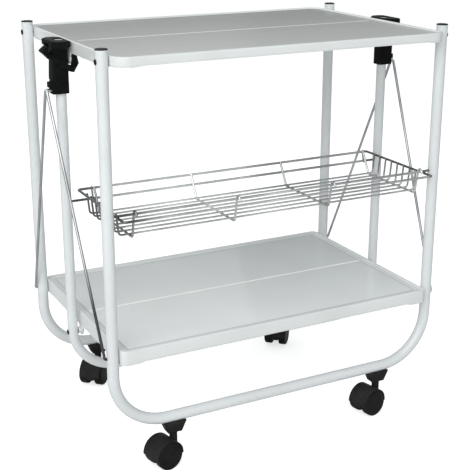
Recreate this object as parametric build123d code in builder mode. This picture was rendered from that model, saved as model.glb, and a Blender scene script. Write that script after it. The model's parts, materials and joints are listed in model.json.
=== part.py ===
from build123d import *
import os
from math import acos, asin, atan2, cos, degrees, hypot, radians, sin, sqrt

# Folding serving trolley.
# X runs along the trolley's length, Y across it towards the back, Z up.
# The origin is on the floor, under the middle of the open trolley.
# Sizes are in millimetres and show the trolley open and locked.

os.makedirs("parts", exist_ok=True)

# Clearances
run_gap = 0.05
seat_gap = 0.3
weld_gap = 0.1
cut_over = 3.0

# Pivot heights. Every crank of the fold is the same vector.
leg_y = 184.0
crank_rise = 22.3
lower_centre_z = 198.5
back_rod_z = 441.0
upper_centre_z = 687.5
lower_pivot_z = lower_centre_z + crank_rise
front_rod_z = back_rod_z + crank_rise
upper_pivot_z = upper_centre_z + crank_rise
crank_length = hypot(leg_y, crank_rise)
crank_rest_angle = degrees(atan2(crank_rise, leg_y))

# Outer frames: two U tubes, one in front and one behind
leg_x = 320.0
frame_tube_r = 10.0
frame_wall = 1.2
frame_bend_r = 95.0
frame_run_z = 88.5
leg_over_pivot = 18.0
frame_top_z = upper_pivot_z + leg_over_pivot
cap_over = 0.2
cap_height = 1.6
cap_round = 0.8
plug_length = 9.0

# Middle frame: one U tube that carries the handles and both tray hinges
mid_leg_step = 4.6
mid_tube_r = 9.0
mid_bend_r = 85.0
mid_bend_over_pin = 4.9
mid_leg_over_centre = 29.1
mid_run_z = lower_centre_z + mid_bend_over_pin - mid_bend_r
mid_top_z = upper_centre_z + mid_leg_over_centre
mid_cap_height = 2.6
mid_leg_x = leg_x + mid_leg_step

# Pins and rivets
pin_r = 2.5
pin_head_r = 4.6
pin_head_height = 1.2
pin_head_round = 0.7
thin_head_r = 4.2
thin_head_height = 0.7
inner_head_height = 2.3

# Trays: four pressed halves
sheet = 1.2
tray_side_gap = 0.3
tray_half_x = leg_x - frame_tube_r - tray_side_gap
upper_corner_r = 26.0
lower_corner_r = 12.0
seam_half_gap = 0.3
rim_width = 4.5
rim_round = 2.2
panel_drop = 3.2
rim_slope = 35.0
skirt_corner_run = 34.0
skirt_ramp = 12.0
seam_flange_end = 20.7
seam_flange_x = tray_half_x - seam_flange_end
seam_flange_depth = 7.0
upper_rim_rise = 31.5
upper_far_reach = 32.0
upper_rim_z = upper_centre_z + upper_rim_rise
upper_far_y = leg_y + upper_far_reach
upper_end_drop = 20.5
upper_far_drop = 15.0
upper_corner_drop = 16.5
lower_rim_rise = 35.5
lower_far_reach = 17.0
lower_rim_z = lower_centre_z + lower_rim_rise
lower_far_y = leg_y + lower_far_reach
lower_end_drop = 25.5
lower_far_drop = 22.5
lower_corner_drop = 25.5
corner_ramp_run = 40.0
corner_ramp_y = upper_far_y - corner_ramp_run
ear_r = 8.8
ear_neck = 17.0
ear_seam_gap = 2.4
ear_flange_x = 15.0
ear_flange_end = 19.0
dot_r = 1.5
dot_head_r = 2.6
dot_head_height = 0.5
dot_end = 10.7
dot_x = tray_half_x - dot_end
dot_y = 10.5
bush_r = 6.0
bush_short = 0.9

# Sliding handles on the middle legs
slide_gap = 0.3
bar_over_leg = 3.9
bar_height = 13.5
bar_taper_height = 4.5
bar_half_y = 34.0
bar_inner_reach = 11.6
bar_outer_reach = 20.4
bar_under = 3.8
bar_corner = 8.0
bar_round = 3.0
bar_notch_depth = 4.8
bar_notch_height = 8.6
bar_notch_more = 0.6
neck_height = 7.0
slider_height = 89.0
slider_inner_reach = 12.0
slider_outer_reach = 16.9
slider_half_y = 11.8
slider_waist_below = 21.0
slider_waist_step = 2.5
slider_round = 3.6
lug_foot = 10.0
lug_height = 9.2
lug_reach = 3.8
lug_half_y = 8.5
notch_height = 3.5
notch_depth = 2.6
bar_top_z = mid_top_z + bar_over_leg
bar_bottom_z = bar_top_z - bar_height
bar_mid_z = bar_bottom_z + bar_taper_height
bar_inner_x = mid_leg_x - bar_inner_reach
bar_outer_x = mid_leg_x + bar_outer_reach
bar_notch_x = bar_outer_x - bar_notch_depth
bar_notch_top_z = bar_bottom_z + bar_notch_height
neck_bottom_z = bar_bottom_z - neck_height
slider_bottom_z = bar_top_z - slider_height
slider_inner_x = mid_leg_x - slider_inner_reach
slider_outer_x = mid_leg_x + slider_outer_reach
slider_waist_z = bar_bottom_z - slider_waist_below
lug_low_z = slider_bottom_z + lug_foot
lug_high_z = lug_low_z + lug_height
notch_high_z = lug_high_z + notch_height

# Latch levers, one through each handle
latch_range = 8.0
latch_below_bar = 26.0
latch_z = bar_bottom_z - latch_below_bar
latch_boss_r = 4.0
latch_cheek = 2.4
latch_side_gap = 0.3
latch_arm_half = 5.5
latch_hub_r = 8.0
hook_bar_reach = 16.4
hook_arm_reach = 21.0
hook_foot_reach = 24.1
hook_tip_reach = 28.4
hook_knee_reach = 31.8
hook_tip = 5.6
hook_bar_height = 8.5
hook_fall_below = 14.0
hook_knee_below = 1.5
hook_rise = 13.5
hook_bar_outer_x = mid_leg_x - hook_bar_reach
hook_arm_outer_x = mid_leg_x - hook_arm_reach
hook_foot_x = mid_leg_x - hook_foot_reach
hook_tip_x = mid_leg_x - hook_tip_reach
hook_arm_inner_x = mid_leg_x - hook_knee_reach
hook_bottom_z = latch_z - hook_fall_below
hook_knee_z = latch_z - hook_knee_below
hook_top_z = latch_z + hook_rise
tab_plate = 2.6
tab_tip = 2.0
tab_half_y = 10.0
tab_plate_reach = 18.8
tab_top_reach = 20.6
tab_tip_reach = 31.4
tab_low_rise = 11.5
tab_high_rise = 18.0
tab_tip_rise = 20.5
tab_top_rise = 29.3
tab_plate_x = mid_leg_x + tab_plate_reach
tab_top_x = mid_leg_x + tab_top_reach
tab_tip_x = mid_leg_x + tab_tip_reach
tab_low_z = latch_z + tab_low_rise
tab_high_z = latch_z + tab_high_rise
tab_tip_z = latch_z + tab_tip_rise
tab_top_z = latch_z + tab_top_rise

# Wire stays between the handles and the outer legs
stay_r = 2.5
stay_bend_r = 3.0
stay_bend_spare = 0.4
stay_clear = 8.5
stay_over_foot = 5.7
stay_top_x = slider_outer_x + stay_clear
stay_top_z = slider_bottom_z + stay_over_foot
stay_top_y = 3.3
stay_seat = 12.0
stay_foot_x = leg_x + frame_tube_r + seat_gap + stay_bend_r + stay_bend_spare

# Basket of welded wire
rod_r = 2.25
rim_wire_r = 2.25
cross_wire_r = 2.0
long_wire_r = 1.75
basket_end_gap = 8.7
basket_half_x = tray_half_x - basket_end_gap
basket_back_y = 5.0
basket_front_reach = 22.0
basket_front_y = -leg_y - basket_front_reach
basket_corner_r = 5.0
basket_floor_below = 21.0
basket_floor_z = back_rod_z - basket_floor_below
basket_back_slope = 28.0
basket_front_slope = 13.0
basket_floor_back_y = basket_back_y - basket_back_slope
basket_floor_front_y = -leg_y + basket_front_slope
cross_bend_r = 6.0
hook_reach = 7.5
hook_fall = 2.5
cross_place_shares = (-0.90698, -0.28571, 0.33887, 0.96346)
cross_x_places = tuple(share * basket_half_x for share in cross_place_shares)
long_wire_count = 8
long_back_inset = 7.0
long_front_inset = 8.0
long_end_slope = 7.5
long_back_y = basket_floor_back_y - long_back_inset
long_front_y = basket_floor_front_y + long_front_inset
long_bend_r = 6.0
long_foot_x = basket_half_x - long_end_slope
long_over = 2.0
hanger_r = 3.6
hanger_sheet = 1.2
basket_rim_z = front_rod_z - rod_r - rim_wire_r - seat_gap

# Casters: twin wheels under a hood, on a swivelling stem
caster_x = 213.0
wheel_r = 25.0
wheel_width = 15.0
wheel_gap = 16.0
wheel_round = 2.2
wheel_dish_r = 19.5
wheel_dish = 0.6
wheel_seat = 12.5
caster_trail = 22.0
axle_r = 3.0
web_half = 7.4
web_r = 26.4
web_drop = 9.0
fender_gap = 1.0
fender_wall = 2.0
fender_half = 21.0
fender_drop = 1.5
boss_r = 7.0
boss_height = 20.0
stem_r = 4.0
stem_in_hood = 13.0
stem_in_socket = 14.0
swivel_gap = 2.0
socket_below_run = 28.5
socket_bottom_z = frame_run_z - socket_below_run
boss_top_z = socket_bottom_z - swivel_gap
boss_low_z = boss_top_z - boss_height
socket_top_over_run = 2.2
socket_foot_x = 26.0
socket_foot_y = 18.0
socket_top_x = 43.0
socket_top_y = 22.0
socket_bore_more = 1.0
front_trail_angle = 193.0
back_trail_angle = 227.0

# The fold ends where the swivelling casters of both frames would meet
wheel_sweep = hypot(caster_trail + wheel_r, wheel_gap / 2 + wheel_width)
hood_sweep = hypot(caster_trail + wheel_r + fender_gap + fender_wall, fender_half)
caster_sweep = max(wheel_sweep, hood_sweep)
fold_stop_gap = 0.75
folded_y = caster_sweep + fold_stop_gap
fold_range = crank_rest_angle + degrees(acos(folded_y / crank_length))
folded_drop = crank_rise + sqrt(crank_length ** 2 - folded_y ** 2)
stay_run = hypot(leg_y - stay_top_y, stay_top_z - lower_pivot_z)
folded_stay_rise = sqrt(stay_run ** 2 - (folded_y - stay_top_y) ** 2)
slider_travel = stay_top_z - (lower_pivot_z - folded_drop) - folded_stay_rise
stay_rest_angle = degrees(asin((leg_y - stay_top_y) / stay_run))
stay_folded_angle = degrees(asin((folded_y - stay_top_y) / stay_run))
print(f"fold range {fold_range:.3f} deg, slider travel {slider_travel:.3f} mm")
print(f"stay turn {stay_rest_angle - stay_folded_angle:.3f} deg, folded half gap {folded_y:.3f} mm")


def x_bar(radius, start_x, end_x, y, z, mode=Mode.ADD):
    """A round bar along X, from start_x to end_x."""
    with Locations(((start_x + end_x) / 2, y, z)):
        Cylinder(radius, abs(end_x - start_x), rotation=(0, 90, 0), mode=mode)


def y_bar(radius, start_y, end_y, x, z, mode=Mode.ADD):
    """A round bar along Y, from start_y to end_y."""
    with Locations((x, (start_y + end_y) / 2, z)):
        Cylinder(radius, abs(end_y - start_y), rotation=(90, 0, 0), mode=mode)


def block(low, high, mode=Mode.ADD):
    """A box between two corners."""
    with Locations([tuple((a + b) / 2 for a, b in zip(low, high))]):
        Box(*(abs(b - a) for a, b in zip(low, high)), mode=mode)


# Frame tubes

frame_rows = (("front", -1), ("back", 1))
for frame_name, frame_side in frame_rows:
    with BuildPart() as tube:
        with BuildLine(Plane.XZ.offset(-frame_side * leg_y)) as tube_path:
            FilletPolyline(
                (-leg_x, frame_top_z),
                (-leg_x, frame_run_z),
                (leg_x, frame_run_z),
                (leg_x, frame_top_z),
                radius=frame_bend_r,
            )
        with BuildSketch(Plane(origin=tube_path.line @ 0, z_dir=tube_path.line % 0)):
            Circle(frame_tube_r)
            Circle(frame_tube_r - frame_wall, mode=Mode.SUBTRACT)
        sweep()
        for end in (-1, 1):
            reach = leg_x + frame_tube_r + cut_over
            for pivot_z in (lower_pivot_z, upper_pivot_z):
                x_bar(
                    pin_r + run_gap,
                    end * (leg_x - frame_tube_r - cut_over),
                    end * reach,
                    frame_side * leg_y,
                    pivot_z,
                    Mode.SUBTRACT,
                )
    tube.part.label = f"{frame_name}_tube"
    export_step(tube.part, f"parts/{frame_name}_tube.step")

    with BuildPart() as caps:
        for end in (-1, 1):
            with BuildSketch(Plane.XY.offset(frame_top_z)):
                with Locations((end * leg_x, frame_side * leg_y)):
                    Circle(frame_tube_r + cap_over)
            extrude(amount=cap_height)
            with BuildSketch(Plane.XY.offset(frame_top_z)):
                with Locations((end * leg_x, frame_side * leg_y)):
                    Circle(frame_tube_r - frame_wall - run_gap)
            extrude(amount=-plug_length)
        fillet(caps.faces().group_by(Axis.Z)[-1].edges(), cap_round)
    caps.part.label = f"{frame_name}_caps"
    export_step(caps.part, f"parts/{frame_name}_caps.step")

    with BuildPart() as upper_pins:
        for end in (-1, 1):
            outer_face = end * (leg_x + frame_tube_r)
            inner_face = end * (tray_half_x - sheet - run_gap)
            x_bar(pin_r, inner_face, outer_face, frame_side * leg_y, upper_pivot_z)
            x_bar(
                pin_head_r,
                outer_face,
                outer_face + end * pin_head_height,
                frame_side * leg_y,
                upper_pivot_z,
            )
            x_bar(
                pin_head_r,
                inner_face,
                inner_face - end * inner_head_height,
                frame_side * leg_y,
                upper_pivot_z,
            )
        fillet(upper_pins.faces().group_by(Axis.X)[0].edges(), pin_head_round)
        fillet(upper_pins.faces().group_by(Axis.X)[-1].edges(), pin_head_round)
    upper_pins.part.label = f"{frame_name}_upper_pins"
    export_step(upper_pins.part, f"parts/{frame_name}_upper_pins.step")

    with BuildPart() as lower_pins:
        for end in (-1, 1):
            outer_face = end * (leg_x + frame_tube_r)
            inner_face = end * (tray_half_x - sheet - run_gap)
            x_bar(pin_r, inner_face, outer_face, frame_side * leg_y, lower_pivot_z)
            x_bar(
                pin_head_r,
                inner_face,
                inner_face - end * inner_head_height,
                frame_side * leg_y,
                lower_pivot_z,
            )
    lower_pins.part.label = f"{frame_name}_lower_pins"
    export_step(lower_pins.part, f"parts/{frame_name}_lower_pins.step")

    with BuildPart() as sockets:
        for end in (-1, 1):
            place = (end * caster_x, frame_side * leg_y)
            socket_top_z = frame_run_z - frame_tube_r + socket_top_over_run
            with BuildSketch(Plane.XY.offset(socket_bottom_z)):
                with Locations(place):
                    Rectangle(socket_foot_x, socket_foot_y)
            with BuildSketch(Plane.XY.offset(socket_top_z)):
                with Locations(place):
                    Rectangle(socket_top_x, socket_top_y)
            loft()
        x_bar(
            frame_tube_r + weld_gap,
            -leg_x,
            leg_x,
            frame_side * leg_y,
            frame_run_z,
            Mode.SUBTRACT,
        )
        for end in (-1, 1):
            with BuildSketch(Plane.XY.offset(socket_bottom_z)):
                with Locations((end * caster_x, frame_side * leg_y)):
                    Circle(stem_r + run_gap)
            extrude(amount=stem_in_socket + socket_bore_more, mode=Mode.SUBTRACT)
    sockets.part.label = f"{frame_name}_sockets"
    export_step(sockets.part, f"parts/{frame_name}_sockets.step")

with BuildPart() as front_rod:
    x_bar(
        rod_r,
        -(leg_x - frame_tube_r - weld_gap),
        leg_x - frame_tube_r - weld_gap,
        -leg_y,
        front_rod_z,
    )
front_rod.part.label = "front_rod"
export_step(front_rod.part, "parts/front_rod.step")

# Middle frame

with BuildPart() as middle_tube:
    with BuildLine(Plane.XZ) as middle_path:
        FilletPolyline(
            (-mid_leg_x, mid_top_z),
            (-mid_leg_x, mid_run_z),
            (mid_leg_x, mid_run_z),
            (mid_leg_x, mid_top_z),
            radius=mid_bend_r,
        )
    with BuildSketch(Plane(origin=middle_path.line @ 0, z_dir=middle_path.line % 0)):
        Circle(mid_tube_r)
        Circle(mid_tube_r - frame_wall, mode=Mode.SUBTRACT)
    sweep()
    for end in (-1, 1):
        x_bar(
            pin_r + run_gap,
            end * (mid_leg_x - mid_tube_r - cut_over),
            end * (mid_leg_x + mid_tube_r + cut_over),
            0,
            lower_centre_z,
            Mode.SUBTRACT,
        )
middle_tube.part.label = "middle_tube"
export_step(middle_tube.part, "parts/middle_tube.step")

with BuildPart() as middle_caps:
    for end in (-1, 1):
        with BuildSketch(Plane.XY.offset(mid_top_z)):
            with Locations((end * mid_leg_x, 0)):
                Circle(mid_tube_r)
        extrude(amount=mid_cap_height)
        with BuildSketch(Plane.XY.offset(mid_top_z)):
            with Locations((end * mid_leg_x, 0)):
                Circle(mid_tube_r - frame_wall - run_gap)
        extrude(amount=-plug_length)
    fillet(middle_caps.faces().group_by(Axis.Z)[-1].edges(), cap_round)
middle_caps.part.label = "middle_caps"
export_step(middle_caps.part, "parts/middle_caps.step")

with BuildPart() as centre_pins:
    for end in (-1, 1):
        outer_face = end * (mid_leg_x + mid_tube_r)
        inner_face = end * (tray_half_x - sheet - seat_gap - sheet - run_gap)
        x_bar(pin_r, inner_face, outer_face, 0, lower_centre_z)
        x_bar(pin_head_r, outer_face, outer_face + end * pin_head_height, 0, lower_centre_z)
        x_bar(pin_head_r, inner_face, inner_face - end * inner_head_height, 0, lower_centre_z)
    fillet(centre_pins.faces().group_by(Axis.X)[0].edges(), pin_head_round)
    fillet(centre_pins.faces().group_by(Axis.X)[-1].edges(), pin_head_round)
centre_pins.part.label = "centre_pins"
export_step(centre_pins.part, "parts/centre_pins.step")

with BuildPart() as centre_bushes:
    for end in (-1, 1):
        inner_face = end * (tray_half_x + tray_side_gap)
        outer_face = end * (mid_leg_x - mid_tube_r - bush_short)
        x_bar(bush_r, inner_face, outer_face, 0, lower_centre_z)
        x_bar(
            pin_r + run_gap,
            inner_face - end * cut_over,
            outer_face + end * cut_over,
            0,
            lower_centre_z,
            Mode.SUBTRACT,
        )
centre_bushes.part.label = "centre_bushes"
export_step(centre_bushes.part, "parts/centre_bushes.step")

with BuildPart() as back_rod:
    x_bar(
        rod_r,
        -(mid_leg_x - mid_tube_r - weld_gap),
        mid_leg_x - mid_tube_r - weld_gap,
        0,
        back_rod_z,
    )
back_rod.part.label = "back_rod"
export_step(back_rod.part, "parts/back_rod.step")

# Tray halves


def tray_outline(side, sketch_z, rim_y, corner_r, inset, seam_y):
    """A tray half's outline, inset from its rim, with rounded far corners."""
    far_y = rim_y - inset
    with BuildSketch(Plane.XY.offset(sketch_z)) as outline:
        with Locations((0, side * (seam_y + far_y) / 2)):
            Rectangle(2 * (tray_half_x - inset), far_y - seam_y)
        corners = outline.vertices().group_by(Axis.Y)[0 if side < 0 else -1]
        fillet(corners, corner_r - inset)
    return outline


tray_rows = (
    ("upper_front", -1, upper_rim_z, upper_far_y, upper_end_drop, upper_far_drop),
    ("upper_back", 1, upper_rim_z, upper_far_y, upper_end_drop, upper_far_drop),
    ("lower_front", -1, lower_rim_z, lower_far_y, lower_end_drop, lower_far_drop),
    ("lower_back", 1, lower_rim_z, lower_far_y, lower_end_drop, lower_far_drop),
)
for tray_name, side, rim_z, far_y, end_drop, far_drop in tray_rows:
    is_upper = tray_name.startswith("upper")
    corner_drop = upper_corner_drop if is_upper else lower_corner_drop
    outer_pivot_z = upper_pivot_z if is_upper else lower_pivot_z
    centre_pivot_z = upper_centre_z if is_upper else lower_centre_z
    corner_r = upper_corner_r if is_upper else lower_corner_r
    skirt_z = rim_z - end_drop
    panel_z = rim_z - panel_drop
    under_z = panel_z - sheet
    with BuildPart() as tray:
        outline = tray_outline(side, skirt_z, far_y, corner_r, 0, seam_half_gap)
        extrude(outline.sketch, amount=end_drop)
        top_edges = tray.faces().sort_by(Axis.Z)[-1].edges()
        rim_edges = [
            e for e in top_edges if abs(e.center().Y) > seam_half_gap + sheet
        ]
        fillet(rim_edges, rim_round)
        hollow = tray_outline(side, skirt_z, far_y, corner_r, sheet, -cut_over)
        hollow_depth = end_drop - panel_drop - sheet
        extrude(hollow.sketch, amount=hollow_depth, mode=Mode.SUBTRACT)
        seam_over = -cut_over - panel_drop
        recess = tray_outline(side, rim_z, far_y, corner_r, rim_width, seam_over)
        extrude(recess.sketch, amount=-panel_drop, taper=rim_slope, mode=Mode.SUBTRACT)
        if far_drop < end_drop:
            keep_x = tray_half_x - skirt_corner_run
            cut_y = side * (far_y - sheet - cut_over)
            with BuildSketch(Plane.XZ.offset(-cut_y)):
                with BuildLine():
                    Polyline(
                        (-keep_x, skirt_z - cut_over),
                        (-keep_x, skirt_z),
                        (-keep_x + skirt_ramp, rim_z - far_drop),
                        (keep_x - skirt_ramp, rim_z - far_drop),
                        (keep_x, skirt_z),
                        (keep_x, skirt_z - cut_over),
                        close=True,
                    )
                make_face()
            extrude(amount=-side * (sheet + cut_over + cut_over), mode=Mode.SUBTRACT)
        if corner_drop < end_drop:
            with BuildSketch(Plane.YZ):
                with BuildLine():
                    Polyline(
                        (side * corner_ramp_y, skirt_z - cut_over),
                        (side * corner_ramp_y, skirt_z),
                        (side * (corner_ramp_y + skirt_ramp), rim_z - corner_drop),
                        (side * (far_y + cut_over), rim_z - corner_drop),
                        (side * (far_y + cut_over), skirt_z - cut_over),
                        close=True,
                    )
                make_face()
            extrude(amount=tray_half_x + cut_over, both=True, mode=Mode.SUBTRACT)
        block(
            (-seam_flange_x, side * seam_half_gap, under_z - seam_flange_depth),
            (seam_flange_x, side * (seam_half_gap + sheet), under_z + sheet / 2),
        )
        if side < 0:
            for end in (-1, 1):
                inner_x = tray_half_x - sheet
                with BuildSketch(Plane.YZ.offset(end * inner_x)):
                    with BuildLine():
                        Polyline(
                            (side * seam_half_gap, skirt_z + sheet),
                            (side * ear_neck, skirt_z + sheet),
                            (side * ear_neck, skirt_z),
                            (side * ear_r, centre_pivot_z),
                            (side * seam_half_gap, centre_pivot_z),
                            close=True,
                        )
                    make_face()
                    with Locations((0, centre_pivot_z)):
                        Circle(ear_r)
                extrude(amount=end * sheet)
                x_bar(
                    pin_r + run_gap,
                    end * (inner_x - cut_over),
                    end * (tray_half_x + cut_over),
                    0,
                    centre_pivot_z,
                    Mode.SUBTRACT,
                )
        else:
            for end in (-1, 1):
                with Locations((end * dot_x, side * dot_y, under_z)):
                    Cylinder(dot_r + run_gap, 2 * cut_over, mode=Mode.SUBTRACT)
                with BuildSketch(Plane.XY.offset(panel_z)):
                    with Locations((end * dot_x, side * dot_y)):
                        Circle(dot_head_r + run_gap)
                extrude(amount=-(dot_head_height + run_gap + weld_gap), mode=Mode.SUBTRACT)
        for end in (-1, 1):
            x_bar(
                pin_r + run_gap,
                end * (tray_half_x - sheet - cut_over),
                end * (tray_half_x + cut_over),
                side * leg_y,
                outer_pivot_z,
                Mode.SUBTRACT,
            )
    tray.part.label = f"{tray_name}_tray"
    export_step(tray.part, f"parts/{tray_name}_tray.step")

# Hinge plates of the back halves, and the rivets that hold them under the panels

plate_outer_x = tray_half_x - sheet - seat_gap
plate_inner_x = plate_outer_x - sheet
for level_name, rim_z, centre_pivot_z in (
    ("upper", upper_rim_z, upper_centre_z),
    ("lower", lower_rim_z, lower_centre_z),
):
    under_z = rim_z - panel_drop - sheet
    plate_top_z = under_z - weld_gap
    with BuildPart() as plates:
        for end in (-1, 1):
            with BuildSketch(Plane.YZ.offset(end * plate_inner_x)):
                with BuildLine():
                    Polyline(
                        (ear_seam_gap, plate_top_z),
                        (ear_flange_end, plate_top_z),
                        (ear_flange_end, plate_top_z - ear_r),
                        (ear_r, centre_pivot_z),
                        (0, centre_pivot_z),
                        close=True,
                    )
                make_face()
                with Locations((0, centre_pivot_z)):
                    Circle(ear_r)
            extrude(amount=end * sheet)
            block(
                (end * (plate_outer_x - ear_flange_x), ear_seam_gap, plate_top_z - sheet),
                (end * plate_outer_x, ear_flange_end, plate_top_z),
            )
            x_bar(
                pin_r + run_gap,
                end * (plate_inner_x - cut_over),
                end * (plate_outer_x + cut_over),
                0,
                centre_pivot_z,
                Mode.SUBTRACT,
            )
            with Locations((end * dot_x, dot_y, plate_top_z)):
                Cylinder(dot_r + run_gap, 2 * cut_over, mode=Mode.SUBTRACT)
    plates.part.label = f"{level_name}_hinge_plates"
    export_step(plates.part, f"parts/{level_name}_hinge_plates.step")

    with BuildPart() as dots:
        head_top_z = rim_z - panel_drop - run_gap
        low_z = plate_top_z - sheet - weld_gap
        for end in (-1, 1):
            with BuildSketch(Plane.XY.offset(low_z)):
                with Locations((end * dot_x, dot_y)):
                    Circle(dot_r)
            extrude(amount=head_top_z - low_z)
            with BuildSketch(Plane.XY.offset(head_top_z)):
                with Locations((end * dot_x, dot_y)):
                    Circle(dot_head_r)
            extrude(amount=-dot_head_height)
            with BuildSketch(Plane.XY.offset(low_z)):
                with Locations((end * dot_x, dot_y)):
                    Circle(dot_head_r)
            extrude(amount=-dot_head_height)
    dots.part.label = f"{level_name}_plate_rivets"
    export_step(dots.part, f"parts/{level_name}_plate_rivets.step")

with BuildPart() as upper_centre_pins:
    for end in (-1, 1):
        outer_face = end * (tray_half_x + weld_gap)
        inner_face = end * (plate_inner_x - run_gap)
        x_bar(pin_r, inner_face, outer_face, 0, upper_centre_z)
        x_bar(thin_head_r, outer_face, outer_face + end * thin_head_height, 0, upper_centre_z)
        x_bar(thin_head_r, inner_face, inner_face - end * inner_head_height, 0, upper_centre_z)
upper_centre_pins.part.label = "upper_centre_pins"
export_step(upper_centre_pins.part, "parts/upper_centre_pins.step")

# Basket

with BuildPart() as basket_rim:
    with BuildLine(Plane.XY.offset(basket_rim_z)) as rim_path:
        FilletPolyline(
            (basket_half_x, basket_front_y),
            (basket_half_x, basket_back_y),
            (-basket_half_x, basket_back_y),
            (-basket_half_x, basket_front_y),
            radius=basket_corner_r,
            close=True,
        )
    with BuildSketch(Plane(origin=rim_path.line @ 0, z_dir=rim_path.line % 0)):
        Circle(rim_wire_r)
    sweep()
basket_rim.part.label = "basket_rim"
export_step(basket_rim.part, "parts/basket_rim.step")

with BuildPart() as long_wires:
    wire_z = basket_floor_z + cross_wire_r + long_wire_r + weld_gap
    wire_top_x = basket_half_x - rim_wire_r - long_wire_r - weld_gap
    wire_top_z = basket_rim_z + long_over
    pitch = (long_front_y - long_back_y) / (long_wire_count - 1)
    for index in range(long_wire_count):
        wire_y = long_back_y + index * pitch
        with BuildLine(Plane.XZ.offset(-wire_y)) as long_path:
            FilletPolyline(
                (-wire_top_x, wire_top_z),
                (-long_foot_x, wire_z),
                (long_foot_x, wire_z),
                (wire_top_x, wire_top_z),
                radius=long_bend_r,
            )
        with BuildSketch(Plane(origin=long_path.line @ 0, z_dir=long_path.line % 0)):
            Circle(long_wire_r)
        sweep()
long_wires.part.label = "basket_long_wires"
export_step(long_wires.part, "parts/basket_long_wires.step")

# The cross wires run up the back and hook over the front rod
hook_r = rod_r + seat_gap + cross_wire_r
foot_y = basket_floor_front_y
foot_rise = front_rod_z - basket_floor_z
foot_away = foot_y + leg_y
foot_line = hypot(foot_away, foot_rise)
foot_turn = asin(hook_r / foot_line)
foot_angle = atan2(foot_rise, -foot_away) - foot_turn
rest_y = -leg_y - hook_reach
rest_z = front_rod_z - hook_fall
rest_away = rest_y + leg_y
rest_rise = rest_z - front_rod_z
rest_line = hypot(rest_away, rest_rise)
rest_turn = asin(hook_r / rest_line)
rest_angle = atan2(-rest_rise, -rest_away) + rest_turn
corner_run = (
    (rest_y - foot_y) * sin(rest_angle) - (rest_z - basket_floor_z) * cos(rest_angle)
) / (cos(foot_angle) * sin(rest_angle) - sin(foot_angle) * cos(rest_angle))
hook_corner = (
    foot_y + corner_run * cos(foot_angle),
    basket_floor_z + corner_run * sin(foot_angle),
)
with BuildPart() as cross_wires:
    back_top_y = basket_back_y - rim_wire_r - cross_wire_r - weld_gap
    for cross_x in cross_x_places:
        with BuildLine(Plane.YZ.offset(cross_x)) as cross_path:
            FilletPolyline(
                (back_top_y, basket_rim_z + rim_wire_r),
                (basket_floor_back_y, basket_floor_z),
                (foot_y, basket_floor_z),
                hook_corner,
                (rest_y, rest_z),
                radius=(cross_bend_r, cross_bend_r, hook_r),
            )
        with BuildSketch(Plane(origin=cross_path.line @ 0, z_dir=cross_path.line % 0)):
            Circle(cross_wire_r)
        sweep()
cross_wires.part.label = "basket_cross_wires"
export_step(cross_wires.part, "parts/basket_cross_wires.step")

with BuildPart() as hangers:
    for end, cross_x in ((-1, cross_x_places[0]), (1, cross_x_places[-1])):
        with BuildSketch(Plane.YZ.offset(cross_x + end * (cross_wire_r + seat_gap))):
            with BuildLine():
                Polyline(
                    (basket_back_y - hanger_r, basket_rim_z),
                    (basket_back_y + hanger_r, basket_rim_z),
                    (hanger_r, back_rod_z),
                    (-hanger_r, back_rod_z),
                    close=True,
                )
            make_face()
            with Locations((basket_back_y, basket_rim_z), (0, back_rod_z)):
                Circle(hanger_r)
            with Locations((basket_back_y, basket_rim_z)):
                Circle(rim_wire_r + run_gap, mode=Mode.SUBTRACT)
            with Locations((0, back_rod_z)):
                Circle(rod_r + run_gap, mode=Mode.SUBTRACT)
        extrude(amount=end * hanger_sheet)
hangers.part.label = "basket_hangers"
export_step(hangers.part, "parts/basket_hangers.step")

# Handles, latches and stays, left and right

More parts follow.
